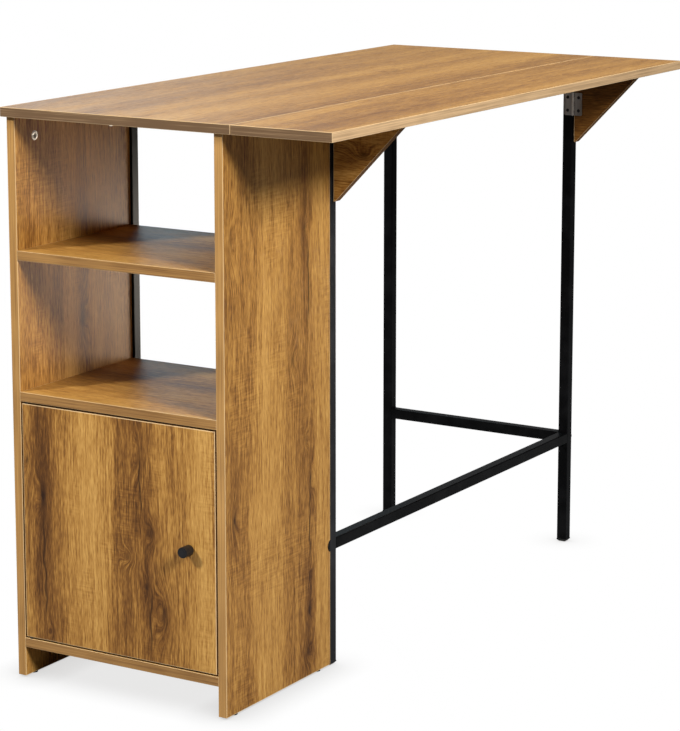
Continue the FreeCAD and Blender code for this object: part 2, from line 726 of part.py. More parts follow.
def pin_hole(edge_z, inward):
    """The hole of a pivot pin in the door's top or bottom edge."""
    mouth = Vector(pivot_x, pivot_y, edge_z)
    return rod(pivot_pin_radius + fastener_clearance, pivot_pin_in_door + fastener_clearance, mouth, inward)


pin_holes = [pin_hole(door_high_z, Z_AXIS * -1), pin_hole(door_low_z, Z_AXIS)]
nodes["door"] = door.cut(pin_holes + [knob_screw_hole, strike_screw_hole])

nodes["upper_shelf"] = shelf(upper_shelf_z)
nodes["middle_shelf"] = shelf(middle_shelf_z).cut([upper_bush_hole] + catch_screw_holes)
nodes["bottom_panel"] = shelf(bottom_panel_z).cut(lower_bush_hole)

# ------------------------------------------------------------------------------------------ files
os.makedirs("parts", exist_ok=True)
for name, shape in nodes.items():
    shape.exportStep("parts/" + name + ".step")
print(len(nodes), "nodes,", sum(len(shape.Solids) for shape in nodes.values()), "solids")
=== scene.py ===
# %% [markdown]
# # A kitchen table with a storage cabinet
#
# The table is built as boards and steel tube: a fixed top and a drop leaf, a cabinet with two open
# compartments and a door, and a frame of black square tube with two swing brackets. The CAD model
# gives every size and joint. This lesson dresses it: it sets up a small studio, writes the finishes as
# shader maths, and models the hinges, screws, cams, knob and weld beads in more detail.

# %% Load the CAD model
import math

import bmesh
import bpy
from mathutils import Matrix, Vector


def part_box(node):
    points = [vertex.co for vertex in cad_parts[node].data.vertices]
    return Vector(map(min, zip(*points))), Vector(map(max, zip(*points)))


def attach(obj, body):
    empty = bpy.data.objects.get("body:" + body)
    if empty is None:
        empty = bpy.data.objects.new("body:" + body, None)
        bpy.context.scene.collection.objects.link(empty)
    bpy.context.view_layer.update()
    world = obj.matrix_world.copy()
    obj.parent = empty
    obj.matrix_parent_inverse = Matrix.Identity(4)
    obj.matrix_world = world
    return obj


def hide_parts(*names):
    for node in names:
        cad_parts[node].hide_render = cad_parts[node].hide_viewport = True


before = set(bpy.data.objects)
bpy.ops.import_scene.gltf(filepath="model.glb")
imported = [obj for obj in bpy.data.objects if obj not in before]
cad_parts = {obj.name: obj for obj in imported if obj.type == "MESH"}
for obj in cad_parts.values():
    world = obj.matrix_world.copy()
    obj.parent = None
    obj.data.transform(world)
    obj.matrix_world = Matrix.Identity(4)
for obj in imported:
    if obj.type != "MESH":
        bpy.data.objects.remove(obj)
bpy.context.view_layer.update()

# %% [markdown]
# ## The camera
#
# The table is seen from its cabinet end, from a little above the top. A long lens from about four
# metres keeps the legs almost parallel, as in a catalogue picture. The lens shift lowers the picture a
# little, so the camera tilts less and the upright edges stay more upright.

# %% Camera
TILT_DOWN = 10.296
HEADING = 31.427
camera_data = bpy.data.cameras.new("camera")
camera_data.sensor_width = 36.0
camera_data.lens = 130.8
camera_data.shift_y = -0.125
camera = bpy.data.objects.new("camera", camera_data)
camera.location = (-3.7859, -2.2627, 1.3913)
camera.rotation_euler = (math.radians(90 - TILT_DOWN), 0.0, math.radians(HEADING - 90))
bpy.context.scene.collection.objects.link(camera)
bpy.context.scene.camera = camera
print("camera at", tuple(round(n, 2) for n in camera.location))

# %% [markdown]
# ## The studio
#
# The floor is one large pale plane. Soft area lights do the work: the key light stands high on the
# right and throws the leaf's shadow on the side panel. A smaller one on the left lights the door and
# draws the knob's shadow. Neither shows in a mirror reflection, so that the top doesn't turn white where
# it is seen from the other side. Two wide ones behind the table, the larger of them cool as a window,
# give the top its sheen, because a shiny board seen at a flat angle mirrors what stands behind it. A
# faint warm one, with a narrow spread, lights the cabinet's left wall through the open back.

# %% Floor
bpy.ops.object.select_all(action="DESELECT")
bpy.ops.mesh.primitive_plane_add(size=120.0, location=(0.0, 0.0, 0.0))
floor = bpy.context.object
floor.name = "floor"


# %% Lights
def softbox(name, place, target, size, power, tint=(1.0, 1.0, 1.0)):
    """A round area light at a place, turned to a target."""
    light = bpy.data.lights.new(name, "AREA")
    light.shape = "DISK"
    light.size = size
    light.energy = power
    light.color = tint
    holder = bpy.data.objects.new(name, light)
    holder.location = place
    holder.rotation_euler = (Vector(target) - Vector(place)).to_track_quat("-Z", "Y").to_euler()
    bpy.context.scene.collection.objects.link(holder)
    return holder


key = softbox("key_light", (-1.9, -3.5, 2.95), (-0.3, -0.1, 0.45), size=1.2, power=262.0)
front = softbox("front_light", (-3.3, 2.1, 2.7), (-0.6, 0.1, 0.45), size=0.45, power=150.0)
for unmirrored in (key, front):
    unmirrored.visible_glossy = False

COOL = (0.62, 0.87, 1.0)
WARM = (1.0, 0.90, 0.78)
softbox("left_sheen", (2.2, 3.2, 2.5), (-0.2, 0.0, 0.8), size=3.0, power=42.0, tint=COOL)
far_sheen = softbox("far_sheen", (3.9, 1.6, 1.9), (0.2, 0.0, 0.9), size=2.0, power=3.0)
softbox("overhead_light", (0.6, -0.5, 3.6), (0.3, -0.1, 0.9), size=1.6, power=50.0)
rear_fill = softbox("rear_fill", (0.42, 0.02, 0.48), (-0.4, 0.26, 0.58), size=0.4, power=0.9, tint=WARM)
rear_fill.data.spread = math.radians(70)
for unseen in (far_sheen, rear_fill):
    unseen.visible_camera = False
bpy.context.scene.view_settings.view_transform = "Standard"
print("lights:", [light.name for light in bpy.data.lights])


# %% [markdown]
# ## Shader maths as Python
#
# A procedural finish is mostly arithmetic on positions and noise. Wired by hand it becomes a web of
# Math nodes. The small class below wraps one output of a node, so that an expression such as
# `1 - mask * 0.5` adds the nodes by itself. Every other node comes from one method.

# %% The Signal class
class Signal:
    """One output of a shader node. Arithmetic on it adds Math nodes to its material."""

    def __init__(self, tree, socket):
        self.tree = tree
        self.socket = socket

    def node(self, kind, links=None, out=0, stops=None, **settings):
        """Adds any node: first its settings, then a value or a link for each socket."""
        made = self.tree.nodes.new(kind)
        for name, value in settings.items():
            setattr(made, name, value)
        for index, (place, colour) in enumerate(stops or []):
            elements = made.color_ramp.elements
            stop = elements[index] if index < len(elements) else elements.new(place)
            stop.position = place
            stop.color = (*colour, 1.0)
        sockets = {socket.identifier: socket for socket in made.inputs}
        for name, value in (links or {}).items():
            if isinstance(value, Signal):
                self.tree.links.new(value.socket, sockets[name])
            else:
                sockets[name].default_value = value
        return Signal(self.tree, made.outputs[out])

    def output(self, name):
        """Another output of the same node."""
        return Signal(self.tree, self.socket.node.outputs[name])

    def maths(self, operation, *values):
        """A Math node; its two inputs are called Value and Value_001."""
        return self.node("ShaderNodeMath", dict(zip(("Value", "Value_001"), values)), operation=operation)

    def __add__(self, other):
        return self.maths("ADD", self, other)

    def __radd__(self, other):
        return self.maths("ADD", other, self)

    def __sub__(self, other):
        return self.maths("SUBTRACT", self, other)

    def __rsub__(self, other):
        return self.maths("SUBTRACT", other, self)

    def __mul__(self, other):
        return self.maths("MULTIPLY", self, other)

    def __rmul__(self, other):
        return self.maths("MULTIPLY", other, self)

    def __truediv__(self, other):
        return self.maths("DIVIDE", self, other)

    def __abs__(self):
        return self.maths("ABSOLUTE", self)

    def larger(self, other):
        return self.maths("MAXIMUM", self, other)

    def smaller(self, other):
        return self.maths("MINIMUM", self, other)

    def exponent(self):
        return self.maths("EXPONENT", self)

    def bell(self):
        """1 where the signal is 0, and falling off smoothly to both sides."""
        return (self * self * -1.0).exponent()

    def rise(self, low, high):
        """0 up to low, 1 from high on, and a smooth step between; low above high makes it fall."""
        ends = {"Value": self, "From Min": low, "From Max": high}
        return self.node("ShaderNodeMapRange", ends, interpolation_type="SMOOTHSTEP")


print("Signal class ready")


# %% Helpers for materials
def new_material(name):
    """An empty material; returns it, its Principled shader and the object position."""
    material = bpy.data.materials.new(name)
    material.use_nodes = True
    tree = material.node_tree
    shader = tree.nodes["Principled BSDF"]
    coordinates = tree.nodes.new("ShaderNodeTexCoord")
    return material, shader, Signal(tree, coordinates.outputs["Object"])


def plug(signal, shader, socket):
    """Links a signal to a socket of the shader."""
    signal.tree.links.new(signal.socket, shader.inputs[socket])


def noise(x, y, z=0.0, detail=2.0, roughness=0.5):
    """Noise between 0 and 1 at a point made of signals or numbers."""
    place = x.node("ShaderNodeCombineXYZ", {"X": x, "Y": y, "Z": z})
    links = {"Vector": place, "Scale": 1.0, "Detail": detail, "Roughness": roughness}
    return place.node("ShaderNodeTexNoise", links)


def blend(factor, first, second):
    """Mixes two colours."""
    links = {"Factor_Float": factor, "A_Color": first, "B_Color": second}
    return factor.node("ShaderNodeMix", links, out=2, data_type="RGBA")


def bump(height, shader, distance):
    """Feeds a height to the shader's normal; distance is the height of 1, in metres."""
    plug(height.node("ShaderNodeBump", {"Height": height, "Distance": distance}), shader, "Normal")


print("material helpers ready")

# %% [markdown]
# ## The floor and the world
#
# The floor has to look plain and pale all the way to the horizon, as a lit paper sweep does, and still
# carry a soft painted shadow under each foot. So what the camera sees of it is a pale glow, darkened
# where
# things stand close above it: that darkening is painted shadow. For all other rays it is an ordinary matt
# floor, and the world is dim, so that shadows on the table keep their depth.

# %% Floor and world finish
FOOT_SHADE = (0.58, 0.57, 0.56, 1.0)
FOOT_REACH = 0.07
DIM_SKY = 0.045

floor_material, floor_shader, floor_place = new_material("pale_floor")
floor_tree = floor_place.tree
floor_xyz = floor_place.node("ShaderNodeSeparateXYZ", {"Vector": floor_place})
floor_cloud = noise(floor_xyz * 1.5, floor_xyz.output("Y") * 1.5)
plug(blend(floor_cloud, (0.24, 0.24, 0.24, 1.0), (0.26, 0.26, 0.26, 1.0)), floor_shader, "Base Color")
plug(0.75 + floor_cloud * 0.1, floor_shader, "Roughness")
# The glow darkens where things stand close above the floor: painted shadow.
closeness = floor_place.node("ShaderNodeAmbientOcclusion", {"Distance": FOOT_REACH}, out=1, samples=12)
glow_colour = blend(closeness, FOOT_SHADE, (1.0, 1.0, 1.0, 1.0))
glow = glow_colour.node("ShaderNodeEmission", {"Color": glow_colour, "Strength": 1.0})
camera_ray = glow.node("ShaderNodeLightPath").output("Is Camera Ray")
matt = Signal(floor_tree, floor_shader.outputs["BSDF"])
floor_look = glow.node("ShaderNodeMixShader", {"Fac": camera_ray, "Shader": matt, "Shader_001": glow})
floor_tree.links.new(floor_look.socket, floor_tree.nodes["Material Output"].inputs["Surface"])
floor.data.materials.append(floor_material)

world = bpy.data.worlds.new("studio")
bpy.context.scene.world = world
world.use_nodes = True
sky = world.node_tree.nodes["Background"]
sky.inputs["Color"].default_value = (1.0, 1.0, 1.0, 1.0)
sky_path = world.node_tree.nodes.new("ShaderNodeLightPath")
seen_sky = Signal(world.node_tree, sky_path.outputs["Is Camera Ray"])
plug(seen_sky * (1.0 - DIM_SKY) + DIM_SKY, sky, "Strength")
print("floor and world ready")

# %% [markdown]
# ## Printed oak
#
# The boards are particle board under a printed oak sheet. The print has broad light and dark streaks,
# fine grain lines that flow round the knots, pores, a few cracks, and faint marks of a band saw across
# the grain. All of it is a function of two lengths on the board: u across the grain and v along it.
# The factors of u and v in a noise are its waves per metre, so a grain line has many across and few
# along.
#
# A knot is a bell-shaped bump added to u. The grain lines are drawn where the bumped u has certain
# values, as height lines on a map, so they bend round the knot and close into rings at its middle.
# Each board has its own knots and its own place in the noise, as boards cut from different sheets do.

# %% Grain, knots and cracks
WANDER = 0.036
WAVER = 0.0035
KNOT_PUSH = 1.3
CRACK_WANDER = 0.026
CRACK_RUN_OUT = 0.04
CRACK_BORDER = (0.0024, 0.0008)


def grain_flow(u, v, shift, knots):
    """The grain's own u, which wanders and is pushed aside by each knot; the knots' cores and halos."""
    flow = u + (noise(u * 7.0 + shift, v * 1.6, detail=1.0) - 0.5) * WANDER
    flow = flow + (noise(u * 45.0, v * 12.0 + shift, detail=1.0) - 0.5) * WAVER
    cores = u * 0.0
    halos = u * 0.0
    ragged = (noise(u * 300.0, v * 90.0) - 0.5) * 2.0
    for knot_u, knot_v, half_width, half_length, darkness in knots:
        du = (u - knot_u) / half_width
        dv = (v - knot_v) / half_length
        spread = (du * du + dv * dv) * -1.0
        flow = flow + spread.exponent() * (half_width * KNOT_PUSH)
        cores = cores + (spread * 8.0 + ragged).exponent() * darkness
        halos = halos + (du * du * -0.8 + dv * dv * -0.16).exponent() * darkness
    return flow, cores, halos


def crack_mask(u, v, cracks):
    """1 in the cracks, which wander a little and run out at both ends."""
    splits = u * 0.0
    for crack_u, low, high in cracks:
        wander = (noise(v * 11.0 + crack_u * 50.0, v * 0.0, detail=2.0) - 0.5) * CRACK_WANDER
        inside = v.rise(low, low + CRACK_RUN_OUT) * v.rise(high, high - CRACK_RUN_OUT)
        splits = splits + abs(u - crack_u + wander).rise(*CRACK_BORDER) * inside
    return splits


print("grain ready")

# %% [markdown]
# ## Edge tape
#
# The edges carry a strip of tape with straight grain lines; on the table top its colours are paler and
# greyer, a painted sheen. The direction of the surface tells an edge from a face. The tape's own
# thickness draws a thin pale line round the face, and the pale tan mixed into the colour on the rounded
# arris between the two is a painted highlight.

# %% Tape and arrises
TAPE_DARK = (0.150, 0.068, 0.022)
TAPE_LIGHT = (0.520, 0.285, 0.092)
TAPE_SHADE = 0.56
TAPE_LINE_TONE = 1.7
TAPE_CLOUD_TONE = 0.45
TAPE_BORDER = (0.0013, 0.0007)


def tape_colour(u, v, w, looks, shift, tones, colours):
    """Straight lines along the tape, with one tone for the board's ends and one for its sides."""
    look_u, look_v = looks[:2]
    end_side = (look_v - look_u).rise(-0.15, 0.15)
    run = u * end_side + v * (1.0 - end_side)
    lines = noise(w * 620.0, run * 5.0 + shift, detail=3.0, roughness=0.6)
    cloud = noise(run * 14.0 + shift, w * 20.0, detail=1.0)
    shade = TAPE_SHADE + end_side * tones[0] + (1.0 - end_side) * tones[1]
    shade = shade + (lines - 0.5) * TAPE_LINE_TONE + (cloud - 0.5) * TAPE_CLOUD_TONE
    return shade.node("ShaderNodeValToRGB", {"Fac": shade}, stops=list(zip((0.0, 1.0), colours)))


def outline_and_arris_highlight(board, axes, u, v, looks, square):
    """1 on the tape's thin outline round the face, and on the slantwise arrises: a painted highlight."""
    look_u, look_v, look_w = looks
    lowest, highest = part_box(board)
    across, along = ("XYZ".index(axis) for axis in axes[:2])
    to_side = (u - lowest[across]).smaller(highest[across] - u)
    to_end = (v - lowest[along]).smaller(highest[along] - v)
    outline = to_side.smaller(to_end).rise(*TAPE_BORDER) * look_w.rise(0.80, 0.90)
    arris = look_w.rise(0.08, 0.30) * look_w.rise(0.99, 0.92)
    if square:
        arris = arris.larger(look_u.smaller(look_v).rise(0.25, 0.50))
    return outline.larger(arris)


print("tape ready")

# %% [markdown]
# ## A whole board
#
# The board's finish puts the parts together. Each part of the print moves one shade up or down, and a
# colour ramp turns the shade into a brown.

# %% The oak print
OAK_STOPS = [
    (0.0, (0.080, 0.030, 0.007)),
    (0.33, (0.205, 0.085, 0.018)),
    (0.62, (0.400, 0.195, 0.043)),
    (1.0, (0.590, 0.330, 0.090)),
]
MIDDLE_SHADE = 0.585
LINE_TONE, THREAD_TONE, SPECKLE_TONE, MOTTLE_TONE = 0.45, 1.60, 0.70, 0.35
SAW_TONE, PORE_TONE, HALO_TONE, CRACK_TONE = 0.58, 0.16, 0.30, 0.75
LINE_FRAY, THREAD_FRAY = 0.030, 0.014
PLAIN_BANDS, STREAKED_BANDS = 1.1, 0.4
KNOT_BROWN = (0.026, 0.010, 0.004, 1.0)
ARRIS_HIGHLIGHT_TAN = (0.780, 0.580, 0.330, 1.0)
SHEET_STEP = 3.71
PORE_DEPTH = 0.00012


def oak(board, axes, seed, streaks=(), knots=(), cracks=(), brightness=0.0, contrast=1.0,
        tape_tones=(0.0, 0.0), tape_colours=(TAPE_DARK, TAPE_LIGHT), arris_highlight_strength=0.65,
        roughness=0.42, gloss=0.35, square=True):
    """A printed board; axes names the object's axes across, along and through it, such as "XZY".

    A streak is (across, half width, tone), a knot (across, along, half width, half length, darkness)
    and a crack (across, from, to), in metres but the tones. The tape tones are for ends and sides. A
    square board has a painted highlight on its corner arrises too; a three-cornered one has none."""
    material, shader, place = new_material("oak_" + board)
    xyz = place.node("ShaderNodeSeparateXYZ", {"Vector": place})
    u, v, w = (xyz.output(axis) for axis in axes)
    shift = seed * SHEET_STEP

    # Grain lines, threads and speckle, from coarse to fine
    flow, cores, halos = grain_flow(u, v, shift, knots)
    lines = noise(flow * 95.0, v * 2.4 + shift, detail=2.0, roughness=0.5)
    threads = noise(flow * 340.0 + shift, v * 15.0, detail=4.0, roughness=0.75)
    speckle = noise(u * 620.0 + shift, v * 75.0, detail=1.0)

    # Broad streaks, with borders that fray along the grain lines
    frayed = flow + (lines - 0.5) * LINE_FRAY + (threads - 0.5) * THREAD_FRAY
    band_strength = STREAKED_BANDS if streaks else PLAIN_BANDS
    bands = (noise(frayed * 12.0 + shift, v * 0.6 + shift, detail=1.0) - 0.5) * band_strength
    fading = noise(v * 1.6 + shift, flow * 5.0, detail=1.0) * 0.9 + 0.5
    for streak_u, half_width, tone in streaks:
        bands = bands + ((frayed - streak_u) / half_width).bell() * fading * tone

    # Pores, and the marks of the saw across the grain
    mottle = noise(u * 42.0, v * 9.0 + shift, detail=3.0)
    pores = noise(u * 640.0, v * 34.0, w * 300.0, detail=1.0).rise(0.58, 0.72)
    saw_patch = noise(u * 12.0 + shift, v * 7.0, detail=1.0).rise(0.50, 0.66)
    saw_marks = (noise(u * 28.0, v * 250.0, detail=2.0, roughness=0.7) - 0.5) * saw_patch

    # The face: one shade from all parts, then the dark of knots and cracks
    grain = bands + (lines - 0.5) * LINE_TONE + (threads - 0.5) * THREAD_TONE
    grain = grain + (speckle - 0.5) * SPECKLE_TONE + (mottle - 0.5) * MOTTLE_TONE
    grain = grain + saw_marks * SAW_TONE - pores * PORE_TONE - halos * HALO_TONE
    shade = MIDDLE_SHADE + brightness + grain * contrast
    face = shade.node("ShaderNodeValToRGB", {"Fac": shade}, stops=OAK_STOPS)
    splits = crack_mask(u, v, cracks)
    face = blend((cores + splits * CRACK_TONE).smaller(1.0), face, KNOT_BROWN)

    # The edges: which way the surface looks tells where it is
    normal = place.output("Normal")
    look = normal.node("ShaderNodeSeparateXYZ", {"Vector": normal})
    looks = [abs(look.output(axis)) for axis in axes]
    edge = looks[2].rise(0.60, 0.40)
    tape = tape_colour(u, v, w, looks, shift, tape_tones, tape_colours)
    pale = outline_and_arris_highlight(board, axes, u, v, looks, square)
    # The outline is the tape's pale line; the pale tan on the arrises is a painted highlight.
    colour = blend(pale * arris_highlight_strength, blend(edge, face, tape), ARRIS_HIGHLIGHT_TAN)

    plug(colour, shader, "Base Color")
    plug(roughness + (mottle - 0.5) * 0.12 + pores * 0.12, shader, "Roughness")
    relief = speckle * 0.4 + saw_marks * 0.5 - pores * 0.6
    bump(relief * (1.0 - edge), shader, PORE_DEPTH)
    shader.inputs["Specular IOR Level"].default_value = gloss
    return material


print("oak ready")


# %% Boards and their grain
def dress(material, *nodes):
    """Gives CAD nodes a material."""
    for node in nodes:
        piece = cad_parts[node]
        if not piece.material_slots:
            piece.data.materials.append(material)
        for slot in piece.material_slots:
            slot.material = material


door_streaks = [
    (0.269, 0.008, 0.05), (0.236, 0.032, -0.22), (0.135, 0.026, 0.24),
    (0.092, 0.014, -0.08), (0.052, 0.026, -0.15), (0.008, 0.016, 0.04), (-0.020, 0.010, -0.06),
    (-0.066, 0.020, 0.28),
]
door_knots = [
    (0.239, 0.306, 0.014, 0.050, 0.95),
    (0.269, 0.360, 0.008, 0.020, 0.60),
    (0.054, 0.392, 0.010, 0.050, 0.16),
    (0.031, 0.276, 0.011, 0.026, 0.50),
    (0.076, 0.231, 0.014, 0.014, 0.35),
    (0.041, 0.188, 0.006, 0.022, 0.85),
    (0.009, 0.148, 0.016, 0.045, 0.55),
    (0.227, 0.086, 0.006, 0.012, 0.50),
]
door_cracks = [(0.238, 0.095, 0.285), (0.050, 0.290, 0.400), (0.034, 0.075, 0.200)]
right_streaks = [
    (-0.572, 0.012, -0.06), (-0.530, 0.022, -0.10), (-0.480, 0.022, 0.20), (-0.440, 0.014, 0.06),
    (-0.402, 0.014, -0.06), (-0.356, 0.020, -0.14), (-0.305, 0.022, 0.14),
]
right_knots = [
    (-0.360, 0.729, 0.010, 0.024, 0.70),
    (-0.567, 0.738, 0.012, 0.050, 0.30),
    (-0.395, 0.526, 0.013, 0.030, 0.45),
    (-0.343, 0.327, 0.010, 0.034, 0.60),
    (-0.560, 0.308, 0.012, 0.040, 0.75),
    (-0.357, 0.393, 0.009, 0.020, 0.40),
    (-0.347, 0.167, 0.007, 0.020, 0.60),
    (-0.347, 0.112, 0.009, 0.030, 0.95),
    (-0.353, 0.044, 0.014, 0.022, 0.60),
]
right_cracks = [(-0.345, 0.180, 0.330), (-0.350, 0.560, 0.720)]
left_knots = [(-0.420, 0.560, 0.014, 0.050, 0.6), (-0.360, 0.250, 0.012, 0.040, 0.7)]
top_knots = [
    (0.050, 0.180, 0.012, 0.060, 0.35),
    (0.140, -0.130, 0.010, 0.050, 0.30),
    (-0.070, 0.420, 0.012, 0.060, 0.30),
]
leaf_knots = [(-0.230, 0.250, 0.010, 0.050, 0.25), (-0.180, -0.240, 0.009, 0.050, 0.15)]
bracket_knots = [(0.835, -0.165, 0.016, 0.026, 0.55)]

# The top's tape colours are paler and greyer than the others, and its sides lighter than its ends: a
# painted sheen.
SHEENED_TOP_TAPE_DARK = (0.140, 0.082, 0.042)
SHEENED_TOP_TAPE_LIGHT = (0.600, 0.400, 0.215)
top_look = {"contrast": 0.62, "arris_highlight_strength": 0.50, "roughness": 0.47, "gloss": 0.4,
            "tape_tones": (-0.60, 0.14), "tape_colours": (SHEENED_TOP_TAPE_DARK, SHEENED_TOP_TAPE_LIGHT)}
# The brackets' tape is printed dark: painted shade on the slanted edge, which faces down.
bracket_look = {"tape_tones": (-0.5, -0.5), "gloss": 0.10, "roughness": 0.75, "square": False}
# Lighter print on the left panel: painted light on its shaded inner face.
left_look = {"brightness": 0.08, "gloss": 0.18, "tape_tones": (0.0, 0.06)}
right_look = {"brightness": -0.03, "tape_tones": (0.0, 0.16),
              "streaks": right_streaks, "knots": right_knots, "cracks": right_cracks}
# The door's tape is printed dark: painted shade, so the gap round the door reads dark.
door_look = {"brightness": -0.05, "tape_tones": (-0.4, -0.4),
             "streaks": door_streaks, "knots": door_knots, "cracks": door_cracks}

dress(oak("fixed_top", "YXZ", seed=1, knots=top_knots, **top_look), "fixed_top")
dress(oak("drop_leaf", "YXZ", seed=2, knots=leaf_knots, brightness=-0.08, **top_look), "drop_leaf")
dress(oak("left_side_panel", "XZY", seed=3, knots=left_knots, **left_look), "left_side_panel")
dress(oak("right_side_panel", "XZY", seed=4, **right_look), "right_side_panel")
dress(oak("door", "YZX", seed=5, **door_look), "door")
shelf_oak = oak("upper_shelf", "XYZ", seed=6, tape_tones=(0.0, -0.17))
dress(shelf_oak, "upper_shelf", "middle_shelf", "bottom_panel")
near_oak = oak("near_bracket", "ZYX", seed=7, knots=bracket_knots, brightness=0.05, **bracket_look)
dress(near_oak, "near_bracket")
# The far bracket's print is made much darker than the near one's: painted shade.
far_oak = oak("far_bracket", "ZYX", seed=8, brightness=-0.42, contrast=0.7, **bracket_look)
dress(far_oak, "far_bracket")
print("boards dressed")

# %% [markdown]
# ## Painted and plated metal, plastic and hardboard
#
# The tubes are powder coated: the coat is satin, and its surface has the fine ripple of orange peel.
# On the post beside the cabinet the coat is a little glossier, and its greyer colour is a painted sheen.
# The hinges and screws are plated steel, which is shiny but streaky, and the cams are cast zinc. Moulded
# plastic has a fine grain, and hardboard a cloudy one.

# %% Small finishes
def coated(name, colour, roughness, grain, peel, spread=0.10, gloss=0.3, lift=1.7, cloud_scale=25.0):
    """A coat or a moulded skin: grain is the size of its ripple in metres, peel its height, spread how
    much its roughness varies, and lift how much lighter its clouds are."""
    material, shader, place = new_material(name)
    xyz = place.node("ShaderNodeSeparateXYZ", {"Vector": place})
    x, y, z = (xyz.output(axis) for axis in "XYZ")
    ripple = noise(x / grain, y / grain, z / grain, detail=1.0)
    cloud = noise(x * cloud_scale, y * cloud_scale, z * cloud_scale, detail=3.0)
    lighter = tuple(min(1.0, part * lift + 0.002) for part in colour)
    plug(blend(cloud.rise(0.35, 0.75), (*colour, 1.0), (*lighter, 1.0)), shader, "Base Color")
    plug(roughness + (cloud - 0.5) * spread + (ripple - 0.5) * spread, shader, "Roughness")
    bump(ripple, shader, peel)
    shader.inputs["Specular IOR Level"].default_value = gloss
    return material


ALONG_STREAKS = 160.0
ACROSS_STREAKS = 1500.0
STREAK_DEPTH = 0.00002


def plated(name, colour, roughness, streak_axis):
    """Plated or die-cast metal with streaks along one axis."""
    material, shader, place = new_material(name)
    xyz = place.node("ShaderNodeSeparateXYZ", {"Vector": place})
    scales = {axis: ALONG_STREAKS if axis == streak_axis else ACROSS_STREAKS for axis in "XYZ"}
    x, y, z = (xyz.output(axis) * scales[axis] for axis in "XYZ")
    streaks = noise(x, y, z, detail=2.0)
    cloud = noise(x * 0.07, y * 0.07, z * 0.07, detail=3.0)
    darker = tuple(part * 0.62 for part in colour)
    plug(blend(cloud.rise(0.3, 0.7), (*darker, 1.0), (*colour, 1.0)), shader, "Base Color")
    plug(roughness + (streaks - 0.5) * 0.22 + (cloud - 0.5) * 0.18, shader, "Roughness")
    shader.inputs["Metallic"].default_value = 1.0
    bump(streaks, shader, STREAK_DEPTH)
    return material


print("finish helpers ready")

# %% Coats, plastic and metal
powder = {"grain": 0.0009, "peel": 0.000012}
powder_coat = coated("black_powder_coat", (0.0020, 0.0020, 0.0022), 0.38, gloss=0.09, **powder)
# Greyer than the other tubes: a painted sheen on the near post.
sheened_post_coat = coated("painted_sheen_powder_coat", (0.012, 0.012, 0.013), 0.42, gloss=0.2, **powder)
knob_coat = coated("black_knob_coat", (0.008, 0.008, 0.009), 0.38, grain=0.0006, peel=0.00001)
black_plastic = coated("black_moulded_plastic", (0.014, 0.014, 0.014), 0.52, grain=0.0005, peel=0.00002)
hardboard = coated("smooth_hardboard", (0.23, 0.125, 0.055), 0.62, grain=0.0012, peel=0.00004, spread=0.2,
                   lift=1.18, cloud_scale=260.0)
ferrite = coated("ferrite_magnet", (0.035, 0.035, 0.037), 0.55, grain=0.0007, peel=0.00003)
hinge_plate = plated("plated_hinge_steel", (0.42, 0.41, 0.40), 0.36, "Z")
# A pale coat on the knuckles: a painted highlight along the pin.
knuckle_highlight = coated("knuckle_painted_highlight", (0.72, 0.68, 0.62), 0.30, grain=0.0005, peel=0.000004,
                       gloss=0.7, lift=1.1)
screw_plate = plated("blackened_screw_steel", (0.05, 0.05, 0.052), 0.38, "X")
bright_plate = plated("bright_plated_steel", (0.60, 0.60, 0.61), 0.32, "Z")
die_cast = plated("tumbled_zinc", (0.78, 0.74, 0.66), 0.45, "Z")
print("coats, plastic and metal ready")

# %% Which piece has which finish
finishes = [
    (sheened_post_coat, "near_front_post"),
    (powder_coat, "near_rear_post far_front_leg far_rear_leg far_low_cross_rail low_front_rail"),
    (powder_coat, "near_top_cross_rail far_top_cross_rail top_front_rail top_rear_rail"),
    (black_plastic, "near_front_end_cap near_rear_end_cap far_front_end_cap far_rear_end_cap"),
    (black_plastic, "left_panel_glides right_panel_glides catch_body upper_pivot_bush lower_pivot_bush"),
    (knob_coat, "door_knob"),
    (hardboard, "back_panel"),
    (ferrite, "catch_magnet"),
    (hinge_plate, "leaf_hinge_fixed_flanges leaf_hinge_moving_flanges leaf_hinge_pins"),
    (hinge_plate, "near_hinge_frame_flange near_hinge_bracket_flange near_hinge_pin"),
    (hinge_plate, "far_hinge_frame_flange far_hinge_bracket_flange far_hinge_pin"),
    (screw_plate, "frame_hinge_screws near_bracket_screws far_bracket_screws rail_bolts"),
    (bright_plate, "leaf_hinge_top_screws leaf_hinge_leaf_screws post_screws top_screws"),
    (bright_plate, "catch_screws strike_plate strike_screw knob_screw"),
    (bright_plate, "upper_pivot_pin lower_pivot_pin rail_end_nuts"),
    (die_cast, "top_cam_locks shelf_cam_locks top_cam_dowels shelf_cam_dowels"),
]
for finish, nodes in finishes:
    dress(finish, *nodes.split())
print("metal, plastic and hardboard dressed")

# %% [markdown]
# ## Modelling by hand, in code
#
# Boards and tubes are right as the CAD model gives them. Small hardware isn't: a screw needs its cross
# recess, a hinge its countersunk holes, a cam lock its slot. Each of these starts as a primitive of its
# own size, is pulled into shape in edit mode, and is finished with modifiers that are applied.
#
# An operator acts on whatever is selected. So the helpers below first deselect everything, and then
# select faces or edges by where they are and which way they look. What repeats is modelled once, at the
# origin with its head up, and then stamped to its places. Lengths and places are in millimetres, in the
# CAD model's own frame.

# %% Selecting
MM = 0.001


def clear():
    """Leaves edit mode and deselects everything."""
    if bpy.context.mode != "OBJECT":
        bpy.ops.object.mode_set(mode="OBJECT")
    bpy.ops.object.select_all(action="DESELECT")


def only(piece):
    """Makes one object the selected and active one."""
    clear()
    piece.select_set(True)
    bpy.context.view_layer.objects.active = piece


def settle(piece):
    """Puts the place, turn and scale of an object into its mesh."""
    only(piece)
    bpy.ops.object.transform_apply(location=True, rotation=True, scale=True)


